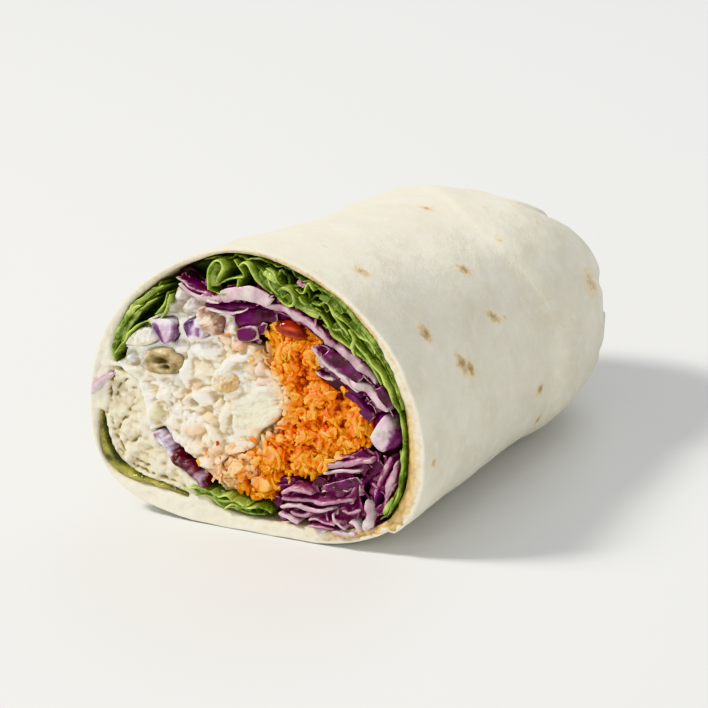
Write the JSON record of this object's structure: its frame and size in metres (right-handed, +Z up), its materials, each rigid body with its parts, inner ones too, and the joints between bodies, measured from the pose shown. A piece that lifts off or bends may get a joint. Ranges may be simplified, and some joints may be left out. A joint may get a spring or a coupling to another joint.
{
  "type": "half of a chicken salad wrap",
  "caption": "Cut half of a rolled flour tortilla wrap with chicken salad, grated carrot, red cabbage and lettuce, lying on its side.",
  "frame": {"origin": "middle of the bounding box, at the bottom, where the roll rests", "axes": "+Z up, +Y along the roll from the cut face to the closed end, +X to the right of a viewer who faces the cut"},
  "size_m": [0.072, 0.1104, 0.0624],
  "materials": {
    "tortilla": "soft floury flatbread, off-white with small toasted spots",
    "salad": "creamy dressing over chicken, moist",
    "chicken": "cooked chicken, fibrous, browned outside",
    "gherkin": "pickled, olive green, wet",
    "onion": "red onion, wet cut faces, purple skin side",
    "carrot": "grated carrot, moist",
    "pepper": "red pepper skin, glossy",
    "cabbage": "red cabbage, purple skin and pale cut edges",
    "cabbage_rib": "pale lilac rib of red cabbage",
    "lettuce": "fresh green leaf, crisp",
    "old_leaf": "olive green leaf, wet"
  },
  "bodies": {
    "root": {"tortilla": "tortilla", "chicken_salad": "salad", "chicken_browned": "chicken", "chicken_pale": "chicken", "chicken_white": "chicken", "gherkin": "gherkin", "onion_dice_left": "onion", "onion_dice_right": "onion", "onion_strip": "onion", "carrot": "carrot", "pepper_piece": "pepper", "cabbage_top": "cabbage", "cabbage_base": "cabbage", "cabbage_rib": "cabbage_rib", "cabbage_sliver": "cabbage_rib", "lettuce_left": "lettuce", "lettuce_left_inner": "lettuce", "lettuce_top": "lettuce", "lettuce_shoulder": "lettuce", "lettuce_shoulder_inner": "lettuce", "lettuce_right": "lettuce", "lettuce_base": "lettuce", "tucked_leaf": "old_leaf"}
  },
  "joints": []
}
